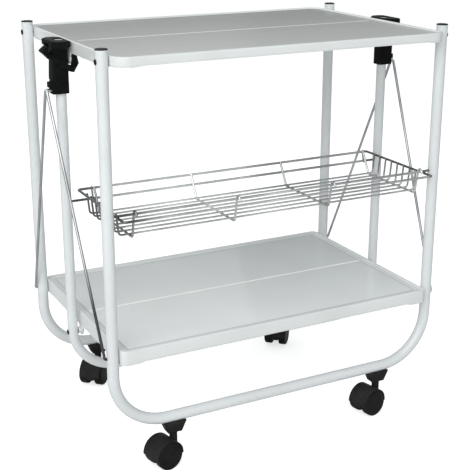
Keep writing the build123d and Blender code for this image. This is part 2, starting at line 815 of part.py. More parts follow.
for side_name, end in (("left", -1), ("right", 1)):
    waist_x = slider_outer_x - slider_waist_step
    with BuildPart() as slider:
        with BuildSketch(Plane.XY.offset(slider_bottom_z)) as body_outline:
            with Locations((end * (slider_inner_x + slider_outer_x) / 2, 0)):
                Rectangle(slider_outer_x - slider_inner_x, 2 * slider_half_y)
            fillet(body_outline.vertices(), slider_round)
        extrude(amount=bar_bottom_z + bar_round - slider_bottom_z)
        with BuildSketch(Plane.XZ):
            with BuildLine():
                Polyline(
                    (end * (slider_outer_x + cut_over), lug_high_z),
                    (end * slider_outer_x, lug_high_z),
                    (end * (slider_outer_x - notch_depth), (lug_high_z + notch_high_z) / 2),
                    (end * slider_outer_x, notch_high_z),
                    (end * waist_x, slider_waist_z),
                    (end * waist_x, bar_bottom_z + bar_round),
                    (end * (slider_outer_x + cut_over), bar_bottom_z + bar_round),
                    close=True,
                )
            make_face()
            with BuildLine():
                Polyline(
                    (end * (slider_inner_x - cut_over), neck_bottom_z - slider_waist_step),
                    (end * slider_inner_x, neck_bottom_z - slider_waist_step),
                    (end * bar_inner_x, neck_bottom_z),
                    (end * bar_inner_x, bar_bottom_z + bar_round),
                    (end * (slider_inner_x - cut_over), bar_bottom_z + bar_round),
                    close=True,
                )
            make_face()
        extrude(amount=slider_half_y + cut_over, both=True, mode=Mode.SUBTRACT)
        block(
            (end * (slider_outer_x - notch_depth), -lug_half_y, lug_low_z),
            (end * (slider_outer_x + lug_reach), lug_half_y, lug_high_z),
        )
        bar_middle_x = end * (bar_inner_x + bar_outer_x) / 2
        bar_width = bar_outer_x - bar_inner_x
        with BuildSketch(Plane.XY.offset(bar_mid_z)) as bar:
            with Locations((bar_middle_x, 0)):
                Rectangle(bar_width, 2 * bar_half_y)
            chamfer(bar.vertices(), bar_corner)
        extrude(amount=bar_top_z - bar_mid_z)
        fillet(slider.faces().sort_by(Axis.Z)[-1].outer_wire().edges(), bar_round)
        with BuildSketch(Plane.XY.offset(bar_mid_z)) as bar_high:
            with Locations((bar_middle_x, 0)):
                Rectangle(bar_width, 2 * bar_half_y)
            chamfer(bar_high.vertices(), bar_corner)
        with BuildSketch(Plane.XY.offset(bar_bottom_z)) as bar_low:
            with Locations((bar_middle_x, 0)):
                Rectangle(bar_width - 2 * bar_under, 2 * bar_half_y - 2 * bar_under)
            chamfer(bar_low.vertices(), bar_corner)
        loft()
        block(
            (end * bar_notch_x, -tab_half_y - bar_notch_more, bar_bottom_z - cut_over),
            (end * (bar_outer_x + cut_over), tab_half_y + bar_notch_more, bar_notch_top_z),
            Mode.SUBTRACT,
        )
        y_bar(
            latch_boss_r,
            -(slider_half_y + latch_side_gap + latch_cheek),
            slider_half_y + latch_side_gap + latch_cheek,
            end * mid_leg_x,
            latch_z,
        )
        with BuildSketch(Plane.XY.offset(slider_bottom_z - cut_over)):
            with Locations((end * mid_leg_x, 0)):
                Circle(mid_tube_r + slide_gap)
        extrude(amount=bar_top_z - slider_bottom_z + 2 * cut_over, mode=Mode.SUBTRACT)
        for stay_side in (-1, 1):
            x_bar(
                stay_r + run_gap,
                end * (stay_top_x - stay_seat - run_gap),
                end * (stay_top_x + cut_over),
                stay_side * stay_top_y,
                stay_top_z,
                Mode.SUBTRACT,
            )
    slider.part.label = f"{side_name}_slider"
    export_step(slider.part, f"parts/{side_name}_slider.step")

    with BuildPart() as latch:
        cheek_in = slider_half_y + latch_side_gap
        cheek_out = cheek_in + latch_cheek
        hook_floor_z = hook_bottom_z + hook_bar_height
        for cheek_side in (-1, 1):
            with BuildSketch(Plane.XZ.offset(-cheek_side * cheek_in)):
                with BuildLine():
                    Polyline(
                        (end * tab_plate_x, tab_high_z),
                        (end * (tab_plate_x + tab_plate), tab_high_z),
                        (end * (tab_plate_x + tab_plate), tab_low_z),
                        (end * mid_leg_x, latch_z - latch_hub_r),
                        (end * hook_bar_outer_x, hook_bottom_z),
                        (end * hook_arm_outer_x, hook_bottom_z),
                        (end * hook_arm_outer_x, hook_floor_z),
                        (end * hook_bar_outer_x, hook_floor_z),
                        (end * mid_leg_x, latch_z + latch_hub_r),
                        close=True,
                    )
                make_face()
                with Locations((end * mid_leg_x, latch_z)):
                    Circle(latch_hub_r)
                    Circle(latch_boss_r + run_gap, mode=Mode.SUBTRACT)
            extrude(amount=-cheek_side * latch_cheek)
        block(
            (end * hook_bar_outer_x, -cheek_out, hook_bottom_z),
            (end * hook_arm_outer_x, cheek_out, hook_floor_z),
        )
        with BuildSketch(Plane.XZ):
            with BuildLine():
                Polyline(
                    (end * hook_bar_outer_x, hook_bottom_z),
                    (end * hook_foot_x, hook_bottom_z),
                    (end * hook_arm_inner_x, hook_knee_z),
                    (end * hook_tip_x, hook_top_z),
                    (end * (hook_tip_x + hook_tip), hook_top_z),
                    (end * hook_arm_outer_x, hook_floor_z),
                    (end * hook_bar_outer_x, hook_floor_z),
                    close=True,
                )
            make_face()
        extrude(amount=latch_arm_half, both=True)
        block(
            (end * tab_plate_x, -cheek_out, tab_low_z),
            (end * (tab_plate_x + tab_plate), cheek_out, tab_high_z),
        )
        with BuildSketch(Plane.XZ):
            with BuildLine():
                Polyline(
                    (end * tab_plate_x, tab_low_z),
                    (end * (tab_plate_x + tab_plate), tab_low_z),
                    (end * tab_tip_x, tab_tip_z),
                    (end * tab_tip_x, tab_tip_z + tab_tip),
                    (end * (tab_top_x + tab_plate), tab_top_z),
                    (end * tab_top_x, tab_top_z),
                    (end * tab_top_x, tab_high_z + tab_plate),
                    (end * tab_plate_x, tab_high_z),
                    close=True,
                )
            make_face()
        extrude(amount=tab_half_y, both=True)
    latch.part.label = f"{side_name}_latch"
    export_step(latch.part, f"parts/{side_name}_latch.step")

    for stay_name, stay_side in (("front", -1), ("back", 1)):
        with BuildPart() as stay:
            with BuildLine() as stay_path:
                FilletPolyline(
                    (end * (stay_top_x - stay_seat), stay_side * stay_top_y, stay_top_z),
                    (end * stay_top_x, stay_side * stay_top_y, stay_top_z),
                    (end * stay_foot_x, stay_side * leg_y, lower_pivot_z),
                    (end * (leg_x + frame_tube_r + seat_gap), stay_side * leg_y, lower_pivot_z),
                    radius=stay_bend_r,
                )
            with BuildSketch(Plane(origin=stay_path.line @ 0, z_dir=stay_path.line % 0)):
                Circle(stay_r)
            sweep()
        stay.part.label = f"{side_name}_{stay_name}_stay"
        export_step(stay.part, f"parts/{side_name}_{stay_name}_stay.step")

# Casters

caster_rows = (
    ("front_left", -1, -1, front_trail_angle),
    ("front_right", 1, -1, front_trail_angle),
    ("back_left", -1, 1, back_trail_angle),
    ("back_right", 1, 1, back_trail_angle),
)
for caster_name, end, frame_side, trail_angle in caster_rows:
    trail_x = cos(radians(trail_angle))
    trail_y = sin(radians(trail_angle))
    stem_place = (end * caster_x, frame_side * leg_y)
    hub = (
        end * caster_x + caster_trail * trail_x,
        frame_side * leg_y + caster_trail * trail_y,
        wheel_r,
    )
    axle_plane = Plane(origin=hub, x_dir=(trail_x, trail_y, 0), z_dir=(trail_y, -trail_x, 0))
    fender_in_r = wheel_r + fender_gap
    fender_out_r = fender_in_r + fender_wall
    with BuildPart() as hood:
        with BuildSketch(axle_plane):
            Circle(web_r)
            with Locations((0, -web_drop - fender_out_r)):
                Rectangle(4 * fender_out_r, 2 * fender_out_r, mode=Mode.SUBTRACT)
        extrude(amount=web_half, both=True)
        with BuildSketch(axle_plane):
            Circle(fender_out_r)
            Circle(fender_in_r, mode=Mode.SUBTRACT)
            with Locations((0, -fender_drop - fender_out_r)):
                Rectangle(4 * fender_out_r, 2 * fender_out_r, mode=Mode.SUBTRACT)
        extrude(amount=fender_half, both=True)
        with BuildSketch(Plane.XY.offset(boss_low_z)):
            with Locations(stem_place):
                Circle(boss_r)
        extrude(amount=boss_top_z - boss_low_z)
        with BuildSketch(Plane.XY.offset(boss_top_z)):
            with Locations(stem_place):
                Circle(stem_r + run_gap)
        extrude(amount=-(stem_in_hood + weld_gap), mode=Mode.SUBTRACT)
        with BuildSketch(axle_plane):
            Circle(axle_r + run_gap)
        extrude(amount=fender_half, both=True, mode=Mode.SUBTRACT)
    hood.part.label = f"{caster_name}_hood"
    export_step(hood.part, f"parts/{caster_name}_hood.step")

    with BuildPart() as stem:
        with BuildSketch(Plane.XY.offset(boss_top_z - stem_in_hood)):
            with Locations(stem_place):
                Circle(stem_r)
        extrude(amount=socket_bottom_z + stem_in_socket - boss_top_z + stem_in_hood)
    stem.part.label = f"{caster_name}_stem"
    export_step(stem.part, f"parts/{caster_name}_stem.step")

    with BuildPart() as wheels:
        for wheel_side in (-1, 1):
            with BuildSketch(axle_plane.offset(wheel_side * wheel_gap / 2)):
                Circle(wheel_r)
            extrude(amount=wheel_side * wheel_width)
        flat_faces = wheels.faces().filter_by(GeomType.PLANE)
        fillet(flat_faces.edges(), wheel_round)
        for wheel_side in (-1, 1):
            outer_w = wheel_gap / 2 + wheel_width
            with BuildSketch(axle_plane.offset(wheel_side * outer_w)):
                Circle(wheel_dish_r)
            extrude(amount=-wheel_side * wheel_dish, mode=Mode.SUBTRACT)
            with BuildSketch(axle_plane.offset(wheel_side * wheel_gap / 2)):
                Circle(axle_r + run_gap)
            extrude(amount=wheel_side * wheel_seat, mode=Mode.SUBTRACT)
    wheels.part.label = f"{caster_name}_wheels"
    export_step(wheels.part, f"parts/{caster_name}_wheels.step")

    with BuildPart() as axle:
        with BuildSketch(axle_plane):
            Circle(axle_r)
        extrude(amount=wheel_gap / 2 + wheel_seat - seat_gap, both=True)
    axle.part.label = f"{caster_name}_axle"
    export_step(axle.part, f"parts/{caster_name}_axle.step")
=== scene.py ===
"""Dressed scene of a folding serving trolley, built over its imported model.

Pieces are drawn in millimetres and published in metres. The studio and the materials use metres.
"""

import json
import logging
from dataclasses import dataclass, field
from enum import Enum
from math import cos, pi, radians, sin
from typing import ClassVar, Iterable, Sequence

import bmesh
import bpy
from mathutils import Matrix, Vector

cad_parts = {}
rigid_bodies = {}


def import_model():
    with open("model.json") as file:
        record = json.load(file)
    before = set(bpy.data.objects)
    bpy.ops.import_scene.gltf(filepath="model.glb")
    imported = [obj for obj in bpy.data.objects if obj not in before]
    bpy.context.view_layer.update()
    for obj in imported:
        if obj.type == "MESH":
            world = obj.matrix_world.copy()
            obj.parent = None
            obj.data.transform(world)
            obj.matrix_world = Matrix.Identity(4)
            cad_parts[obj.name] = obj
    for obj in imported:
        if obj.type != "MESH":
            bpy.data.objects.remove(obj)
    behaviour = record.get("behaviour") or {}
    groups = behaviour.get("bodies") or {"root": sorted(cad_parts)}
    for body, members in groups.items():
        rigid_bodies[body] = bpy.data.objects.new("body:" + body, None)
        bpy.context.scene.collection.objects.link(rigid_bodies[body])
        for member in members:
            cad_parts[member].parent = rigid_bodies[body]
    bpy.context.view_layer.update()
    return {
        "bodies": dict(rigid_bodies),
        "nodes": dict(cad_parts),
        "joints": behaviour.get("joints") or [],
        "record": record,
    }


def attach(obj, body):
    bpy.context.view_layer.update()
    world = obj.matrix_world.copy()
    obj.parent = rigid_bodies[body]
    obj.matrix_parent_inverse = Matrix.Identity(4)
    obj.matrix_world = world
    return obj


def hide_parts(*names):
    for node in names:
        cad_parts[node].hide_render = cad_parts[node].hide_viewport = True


log = logging.getLogger("trolley")

MM = 0.001
PHOTO_SIZE = 470
WHITE = (1.0, 1.0, 1.0, 1.0)

Flat = tuple[float, float]
Point = tuple[float, float, float]
Color = tuple[float, float, float]
Edges = list[bmesh.types.BMEdge]
Faces = list[bmesh.types.BMFace]
Socket = bpy.types.NodeSocket


class Axis(Enum):
    """The trolley's axes: along its length, from front to back, and up."""

    LENGTH = "X"
    DEPTH = "Y"
    HEIGHT = "Z"


class Finish(Enum):
    """The finishes on the trolley."""

    WHITE_ENAMEL = "white_enamel"
    TRAY_ENAMEL = "tray_enamel"
    BRIGHT_WIRE = "bright_wire"
    # A copy of the bright wire with a painted dark reflection low down.
    FRONT_WIRE_REFLECTION = "front_wire_painted_reflection"
    BASKET_WIRE = "basket_wire"
    PLAIN_STEEL = "plain_steel"
    BLACK_RIVET = "black_rivet"
    BLACK_PLASTIC = "black_plastic"
    WHITE_PLASTIC = "white_plastic"
    WHEEL_PLASTIC = "wheel_plastic"
    GRIP_PLASTIC = "grip_plastic"
    # Copies of the tray enamel with painted shade, and one with a painted highlight on the lower seam.
    SHADED_UPPER_PANEL = "upper_panel_painted_shade"
    SHADED_LOWER_PANEL = "lower_panel_painted_shade"
    LOWER_GROOVE_SHADE = "lower_groove_painted_shade"
    LOWER_SEAM_HIGHLIGHT = "lower_seam_painted_highlight"

    @property
    def slot(self) -> str:
        """The record's material slot that this finish stands for."""
        return RECORD_FINISH.get(self, self).value


# The finish of the record's slot, for finishes that the record doesn't name.
RECORD_FINISH: dict[Finish, Finish] = {
    Finish.FRONT_WIRE_REFLECTION: Finish.BRIGHT_WIRE,
    Finish.WHEEL_PLASTIC: Finish.BLACK_PLASTIC,
    Finish.GRIP_PLASTIC: Finish.BLACK_PLASTIC,
    Finish.SHADED_UPPER_PANEL: Finish.TRAY_ENAMEL,
    Finish.SHADED_LOWER_PANEL: Finish.TRAY_ENAMEL,
    Finish.LOWER_GROOVE_SHADE: Finish.TRAY_ENAMEL,
    Finish.LOWER_SEAM_HIGHLIGHT: Finish.TRAY_ENAMEL,
}


@dataclass(frozen=True)
class Look:
    """How one finish looks, in the terms its shader needs.

    Args:
        color: Base colour, linear.
        rough: Roughness of the surface.
        metal: 1 for bare metal, 0 for paint and plastic.
        coat: Weight of the clear top layer.
        grain: Size of the fine surface grain, in metres.
        bump: Strength of the grain's bump.
        tone: How far the colour drifts over the surface, 0 to 1.
        drift: Size of the colour drift, in metres.
        gloss: Strength of the plain reflection, 0.5 for common plastic.
        fade: Painted shade: how much lighter the surface is painted in front than behind, 0 to 1.
        axis: Axis of the trolley that the painted reflections follow.
        reflection_bands: Painted reflections: places along that axis, in metres, each with the painted
            brightness there.
    """

    color: Color
    rough: float
    metal: float = 0.0
    coat: float = 0.0
    grain: float = 0.001
    bump: float = 0.05
    tone: float = 0.04
    drift: float = 0.12
    gloss: float = 0.5
    fade: float = 0.0
    axis: Axis = Axis.HEIGHT
    reflection_bands: tuple[Flat, ...] = ()


LOOKS: dict[Finish, Look] = {
    Finish.WHITE_ENAMEL: Look((0.74, 0.765, 0.77), 0.24, coat=0.3, grain=0.0016, bump=0.035, tone=0.03),
    Finish.TRAY_ENAMEL: Look((0.76, 0.785, 0.775), 0.22, coat=0.35, grain=0.0022, bump=0.02, tone=0.03),
    # Painted shade: the upper panel is the tray's white enamel painted darker, and lighter in front than
    # behind.
    Finish.SHADED_UPPER_PANEL: Look(
        (0.405, 0.413, 0.388), 0.3, coat=0.2, grain=0.0022, bump=0.02, tone=0.018, fade=0.32
    ),
    # Painted shade: the lower panel is painted lighter in front than behind.
    Finish.SHADED_LOWER_PANEL: Look(
        (0.75, 0.775, 0.765), 0.3, coat=0.6, grain=0.0022, bump=0.02, tone=0.018, gloss=0.2, fade=0.12
    ),
    # Painted shade: a darker line painted in the groove round the lower panel.
    Finish.LOWER_GROOVE_SHADE: Look((0.52, 0.54, 0.535), 0.4, grain=0.0022, bump=0.02, tone=0.03),
    # Painted highlight: the lower seam's bead is painted lighter than the enamel.
    Finish.LOWER_SEAM_HIGHLIGHT: Look((0.95, 0.96, 0.95), 0.22, coat=0.35, grain=0.0022, bump=0.02, tone=0.03),
    Finish.BRIGHT_WIRE: Look(
        (0.46, 0.47, 0.48), 0.34, metal=1.0, grain=0.0012, bump=0.03, tone=0.4, drift=0.09
    ),
    # Painted reflection: the left front stay's wire is painted dark low down.
    Finish.FRONT_WIRE_REFLECTION: Look(
        (0.66, 0.66, 0.67),
        0.34,
        metal=1.0,
        grain=0.0012,
        bump=0.03,
        tone=0.3,
        drift=0.09,
        axis=Axis.HEIGHT,
        reflection_bands=((0.29, 0.11), (0.33, 0.3), (0.37, 0.75), (0.56, 0.9)),
    ),
    # Painted reflections: the basket's wires are painted dark at both ends, bright on the left half and
    # mid-grey on the right.
    Finish.BASKET_WIRE: Look(
        (0.87, 0.87, 0.865),
        0.26,
        metal=1.0,
        grain=0.001,
        bump=0.03,
        tone=0.3,
        drift=0.1,
        axis=Axis.LENGTH,
        reflection_bands=(
            (-0.29, 0.24),
            (-0.268, 0.5),
            (-0.25, 1.0),
            (0.0, 1.0),
            (0.1, 0.68),
            (0.24, 0.66),
            (0.27, 0.95),
            (0.29, 0.9),
            (0.297, 0.3),
        ),
    ),
    Finish.PLAIN_STEEL: Look(
        (0.5, 0.5, 0.51), 0.32, metal=1.0, grain=0.0006, bump=0.05, tone=0.1, drift=0.02
    ),
    Finish.BLACK_RIVET: Look(
        (0.003, 0.003, 0.004), 0.3, grain=0.0008, bump=0.05, tone=0.3, drift=0.01, gloss=0.12
    ),
    Finish.BLACK_PLASTIC: Look(
        (0.024, 0.0245, 0.0235), 0.4, grain=0.0005, bump=0.1, tone=0.2, drift=0.03, gloss=0.03
    ),
    Finish.WHITE_PLASTIC: Look((0.78, 0.78, 0.77), 0.4, grain=0.0006, bump=0.05, tone=0.03, drift=0.02),
    Finish.WHEEL_PLASTIC: Look(
        (0.013, 0.0135, 0.013), 0.32, grain=0.0007, bump=0.06, tone=0.2, drift=0.02, gloss=0.06
    ),
    Finish.GRIP_PLASTIC: Look(
        (0.009, 0.0098, 0.0094), 0.35, grain=0.0006, bump=0.09, tone=0.2, drift=0.03, gloss=0.015
    ),
}


@dataclass
class FinishTree:
    """The node tree of one finish: a colour that drifts, gloss that wears, a fine grain, and painted shade or
    painted reflections where the look asks for them.

    Args:
        finish: The finish, for the material's name.
        look: The values of its shader.
    """

    finish: Finish
    look: Look

    COAT_ROUGHNESS: ClassVar[float] = 0.08
    # Where the broad noise leaves the darker tone and where it reaches the lighter one.
    TONE_SPAN: ClassVar[Flat] = (0.35, 0.65)
    TONE_DETAIL: ClassVar[float] = 4.0
    # Size of the worn spots as a share of the drift, and what they do to the roughness.
    WEAR_SHARE: ClassVar[float] = 0.25
    WEAR_DETAIL: ClassVar[float] = 6.0
    WEAR_SPREAD: ClassVar[Flat] = (0.8, 1.25)
    # Depth of the grain as a share of its size.
    GRAIN_DEPTH: ClassVar[float] = 0.3
    GRAIN_DETAIL: ClassVar[float] = 2.0
    # How far the painted front-to-back shade reaches to the front and to the back, in metres.
    PAINTED_FADE_REACH: ClassVar[float] = 0.2

    def __post_init__(self) -> None:
        """Start the material, with nothing but its shader and its coordinates."""
        self.mat = bpy.data.materials.new(f"trolley_{self.finish.value}")
        self.mat.use_nodes = True
        self.mat.diffuse_color = (*self.look.color, 1.0)
        self.nodes = self.mat.node_tree.nodes
        self.links = self.mat.node_tree.links
        self.coords = self.nodes.new("ShaderNodeTexCoord").outputs["Object"]

    def wire(self) -> bpy.types.Material:
        """Wire colour, roughness and grain into the shader.

        Returns:
            The finished material.
        """
        shader = self.nodes["Principled BSDF"]
        shader.inputs["Metallic"].default_value = self.look.metal
        shader.inputs["Coat Weight"].default_value = self.look.coat
        shader.inputs["Coat Roughness"].default_value = self.COAT_ROUGHNESS
        shader.inputs["Specular IOR Level"].default_value = self.look.gloss
        self.links.new(self._color(), shader.inputs["Base Color"])
        self.links.new(self._wear(), shader.inputs["Roughness"])
        self.links.new(self._grain(), shader.inputs["Normal"])
        return self.mat

    def _color(self) -> Socket:
        """Let the colour drift between two tones, and multiply in painted shade or painted reflections along
        an axis where the look asks for them.

        Returns:
            The colour.
        """
        look = self.look
        low = tuple(part * (1.0 - look.tone) for part in look.color)
        high = tuple(min(1.0, part * (1.0 + look.tone)) for part in look.color)
        drift = self._noise(look.drift, self.TONE_DETAIL)
        color = self._ramp(drift, tuple(zip(self.TONE_SPAN, (low, high))))
        if look.fade:
            return self._shaded(color, self._painted_fade())
        if look.reflection_bands:
            return self._shaded(color, self._painted_reflections())
        return color

    def _painted_fade(self) -> Socket:
        """Painted shade: brightness that falls evenly from front to back."""
        reach = (-self.PAINTED_FADE_REACH, self.PAINTED_FADE_REACH)
        return self._mapped(self._place(Axis.DEPTH), reach, (1.0 + self.look.fade, 1.0 - self.look.fade))

    def _painted_reflections(self) -> Socket:
        """Painted reflections: brightness that follows the look's reflection_bands.

        Returns:
            The brightness.
        """
        first, last = self.look.reflection_bands[0][0], self.look.reflection_bands[-1][0]
        along = self._mapped(self._place(self.look.axis), (first, last), (0.0, 1.0))
        stops = [((where - first) / (last - first), (light,) * 3) for where, light in self.look.reflection_bands]
        return self._ramp(along, stops)

    def _wear(self) -> Socket:
        """Roughness that varies a little in worn spots.

        Returns:
            The roughness.
        """
        low, high = self.WEAR_SPREAD
        worn = self._noise(self.look.drift * self.WEAR_SHARE, self.WEAR_DETAIL)
        return self._mapped(worn, (0.0, 1.0), (self.look.rough * low, self.look.rough * high))

    def _grain(self) -> Socket:
        """Fine grain of the surface.

        Returns:
            The normal.
        """
        node = self.nodes.new("ShaderNodeBump")
        node.inputs["Strength"].default_value = self.look.bump
        node.inputs["Distance"].default_value = self.look.grain * self.GRAIN_DEPTH
        self.links.new(self._noise(self.look.grain, self.GRAIN_DETAIL), node.inputs["Height"])
        return node.outputs["Normal"]

    def _noise(self, size: float, detail: float) -> Socket:
        """Add a noise in the piece's own coordinates.

        Args:
            size: Size of its spots, in metres.
            detail: How many finer layers it has.

        Returns:
            Its value.
        """
        node = self.nodes.new("ShaderNodeTexNoise")
        node.inputs["Scale"].default_value = 1.0 / size
        node.inputs["Detail"].default_value = detail
        self.links.new(self.coords, node.inputs["Vector"])
        return node.outputs["Fac"]

    def _place(self, axis: Axis) -> Socket:
        """Read the place along one axis.

        Args:
            axis: The axis.

        Returns:
            The place, in metres.
        """
        node = self.nodes.new("ShaderNodeSeparateXYZ")
        self.links.new(self.coords, node.inputs["Vector"])
        return node.outputs[axis.value]

    def _mapped(self, value: Socket, source: Flat, target: Flat) -> Socket:
        """Map a value from one span to another.

        Args:
            value: The value.
            source: Span that it comes from.
            target: Span that it goes to.

        Returns:
            The mapped value.
        """
        node = self.nodes.new("ShaderNodeMapRange")
        for label, span in (("From", source), ("To", target)):
            node.inputs[f"{label} Min"].default_value = span[0]
            node.inputs[f"{label} Max"].default_value = span[1]
        self.links.new(value, node.inputs["Value"])
        return node.outputs["Result"]

    def _ramp(self, value: Socket, stops: Sequence[tuple[float, Color]]) -> Socket:
        """Add a colour ramp.

        Args:
            value: What runs along the ramp, 0 to 1.
            stops: Places on the ramp, each with its colour.

        Returns:
            The ramp's colour.
        """
        node = self.nodes.new("ShaderNodeValToRGB")
        elements = node.color_ramp.elements
        while len(elements) < len(stops):
            elements.new(1.0)
        for element, (place, color) in zip(elements, stops):
            element.position = place
            element.color = (*color, 1.0)
        self.links.new(value, node.inputs["Fac"])
        return node.outputs["Color"]

    def _shaded(self, color: Socket, light: Socket) -> Socket:
        """Multiply a colour by a brightness.

        Args:
            color: The colour.
            light: The brightness.

        Returns:
            The shaded colour.
        """
        node = self.nodes.new("ShaderNodeVectorMath")
        node.operation = "MULTIPLY"
        self.links.new(color, node.inputs[0])
        self.links.new(light, node.inputs[1])
        return node.outputs["Vector"]


@dataclass
class MaterialShelf:
    """Makes each finish's material once and hands it out.

    Args:
        made: The materials made so far.
    """

    made: dict[Finish, bpy.types.Material] = field(default_factory=dict)

    def get(self, finish: Finish) -> bpy.types.Material:
        """Return the material of a finish.

        Args:
            finish: The finish that is wanted.

        Returns:
            Its node material, made on first use.
        """
        if finish not in self.made:
            self.made[finish] = FinishTree(finish, LOOKS[finish]).wire()
        return self.made[finish]


@dataclass
class Draft:
    """One piece being drawn in millimetres, until it is published.

    Args:
        name: Name of the finished object.
        body: Body that the piece rides on.
        finish: Finish of the piece, where no face has its own.
    """

    name: str
    body: str
    finish: Finish

    SHARP: ClassVar[float] = radians(32.0)
    MERGE: ClassVar[float] = 0.001
    SOFT_STEPS: ClassVar[int] = 3
    PLATE_STEPS: ClassVar[int] = 2
    BEAD_SIDES: ClassVar[int] = 16

    def __post_init__(self) -> None:
        """Start with an empty mesh and one finish."""
        self.finishes = [self.finish]
        self.bm = bmesh.new()

    def paint(self, faces: Iterable[bmesh.types.BMFace], finish: Finish) -> None:
        """Give some faces a finish of their own.

        Args:
            faces: The faces.
            finish: Their finish.
        """
        if finish not in self.finishes:
            self.finishes.append(finish)
        for face in faces:
            face.material_index = self.finishes.index(finish)

    def round_outline(self, half: Flat, radius: float, z: float, steps: int, filled: bool) -> Edges:
        """Draw a level outline with round corners, centred on the origin.

        Args:
            half: Half of its length and half of its width.
            radius: Radius of its corners.
            z: Its height.
            steps: Steps in each corner.
            filled: Whether it keeps its face.

        Returns:
            The edges of the outline.
        """
        known = set(self.bm.faces)
        corners = bmesh.ops.create_grid(self.bm, x_segments=1, y_segments=1, size=1.0)["verts"]
        bmesh.ops.scale(self.bm, vec=(*half, 1.0), verts=corners)
        bmesh.ops.translate(self.bm, vec=(0.0, 0.0, z), verts=corners)
        bmesh.ops.bevel(
            self.bm,
            geom=corners,
            offset=radius,
            segments=steps,
            profile=0.5,
            affect="VERTICES",
            material=-1,
        )
        face = next(face for face in self.bm.faces if face not in known)
        edges = list(face.edges)
        if not filled:
            bmesh.ops.delete(self.bm, geom=[face], context="FACES_ONLY")
        return edges

    def bridge(self, first: Edges, second: Edges) -> Faces:
        """Join two outlines, given by their edges, and return the new faces."""
        return bmesh.ops.bridge_loops(self.bm, edges=first + second)["faces"]

    def slice(self, place: Point, normal: Point, keep_front: bool = False) -> Edges:
        """Cut every face along a plane.

        Args:
            place: Point on the plane.
            normal: Direction that the plane faces.
            keep_front: Whether only the part in front of the plane stays.

        Returns:
            The edges in the plane.
        """
        geom = self.bm.verts[:] + self.bm.edges[:] + self.bm.faces[:]
        made = bmesh.ops.bisect_plane(
            self.bm, geom=geom, dist=self.MERGE, plane_co=place, plane_no=normal, clear_inner=keep_front
        )
        return [part for part in made["geom_cut"] if isinstance(part, bmesh.types.BMEdge)]

    def turn(self, profile: Sequence[Flat], hub: Vector, along: Vector, steps: int) -> None:
        """Spin a profile about an axis into a closed shape.

        Args:
            profile: Pairs of radius and place along the axis, from the axis back to the axis.
            hub: Point on the axis where the place is zero.
            along: Direction of the axis.
            steps: Sides of the turned shape.
        """
        across = along.orthogonal().normalized()
        verts = [self.bm.verts.new(hub + across * radius + along * place) for radius, place in profile]
        edges = [self.bm.edges.new(pair) for pair in zip(verts, verts[1:])]
        bmesh.ops.spin(
            self.bm, geom=verts + edges, cent=hub, axis=along, angle=2 * pi, steps=steps, use_merge=True
        )
        bmesh.ops.remove_doubles(self.bm, verts=self.bm.verts, dist=self.MERGE)

    def plate(self, outline: Sequence[Flat], low_x: float, high_x: float, soft: float) -> None:
        """Extrude an upright outline along X and soften its edges.

        Args:
            outline: Corners of the outline, in Y and Z.
            low_x: Where the plate starts.
            high_x: Where it ends.
            soft: Width of the softened edges.
        """
        known = set(self.bm.edges)
        face = self.bm.faces.new([self.bm.verts.new((low_x, y, z)) for y, z in outline])
        made = bmesh.ops.extrude_face_region(self.bm, geom=[face], use_keep_orig=True)["geom"]
        moved = [part for part in made if isinstance(part, bmesh.types.BMVert)]
        bmesh.ops.translate(self.bm, vec=(high_x - low_x, 0.0, 0.0), verts=moved)
        self._bevel([edge for edge in self._sharp() if edge not in known], soft, self.PLATE_STEPS)

    def bead(self, centre: Point, half_length: float, half_width: float, half_height: float) -> None:
        """Draw a rounded bead along X.

        Args:
            centre: Middle of the bead.
            half_length: Half of its length.
            half_width: Half of its width.
            half_height: Half of its height.
        """
        made = bmesh.ops.create_cone(
            self.bm,
            cap_ends=True,
            segments=self.BEAD_SIDES,
            radius1=1.0,
            radius2=1.0,
            depth=2.0 * half_length,
        )["verts"]
        bmesh.ops.rotate(self.bm, cent=(0, 0, 0), matrix=Matrix.Rotation(pi / 2, 3, "Y"), verts=made)
        bmesh.ops.scale(self.bm, vec=(1.0, half_width, half_height), verts=made)
        bmesh.ops.translate(self.bm, vec=centre, verts=made)

    def soften(self, width: float) -> None:
        """Round every sharp edge of the draft to a width."""
        self._bevel(self._sharp(), width, self.SOFT_STEPS)

    def _sharp(self) -> Edges:
        """The draft's sharp edges."""
        return [edge for edge in self.bm.edges if edge.is_manifold and edge.calc_face_angle(0) > self.SHARP]

    def _bevel(self, edges: Edges, width: float, segments: int) -> None:
        """Round some edges.

        Args:
            edges: The edges.
            width: Width of the rounding.
            segments: Faces across it.
        """
        bmesh.ops.bevel(
            self.bm,
            geom=edges,
            offset=width,
            segments=segments,
            profile=0.5,
            affect="EDGES",
            clamp_overlap=True,
            material=-1,
        )

    def publish(self, shelf: MaterialShelf, node: str) -> bpy.types.Object:
        """Turn the draft into an object in metres that rides on its body.

        Args:
            shelf: Where the materials come from.
            node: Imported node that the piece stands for.

        Returns:
            The finished object.
        """
        bmesh.ops.recalc_face_normals(self.bm, faces=self.bm.faces)
        for face in self.bm.faces:
            face.smooth = True
        for edge in self.bm.edges:
            edge.smooth = edge.is_manifold and edge.calc_face_angle(0) < self.SHARP
        bmesh.ops.scale(self.bm, vec=(MM, MM, MM), verts=self.bm.verts)
        mesh = bpy.data.meshes.new(self.name)
        self.bm.to_mesh(mesh)
        self.bm.free()
        for finish in self.finishes:
            mesh.materials.append(shelf.get(finish))
        obj = bpy.data.objects.new(self.name, mesh)
        bpy.context.scene.collection.objects.link(obj)
        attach(obj, self.body)
        self.finish.slot
        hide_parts(node)
        log.info("%s rides on %s and stands for %s", self.name, self.body, node)
        return obj


def arc(centre: Flat, radius: float, start: float, end: float, steps: int) -> list[Flat]:
    """Points along a flat arc between two angles in degrees, both ends included."""
    angles = [radians(start + (end - start) * i / steps) for i in range(steps + 1)]
    return [(centre[0] + radius * cos(angle), centre[1] + radius * sin(angle)) for angle in angles]


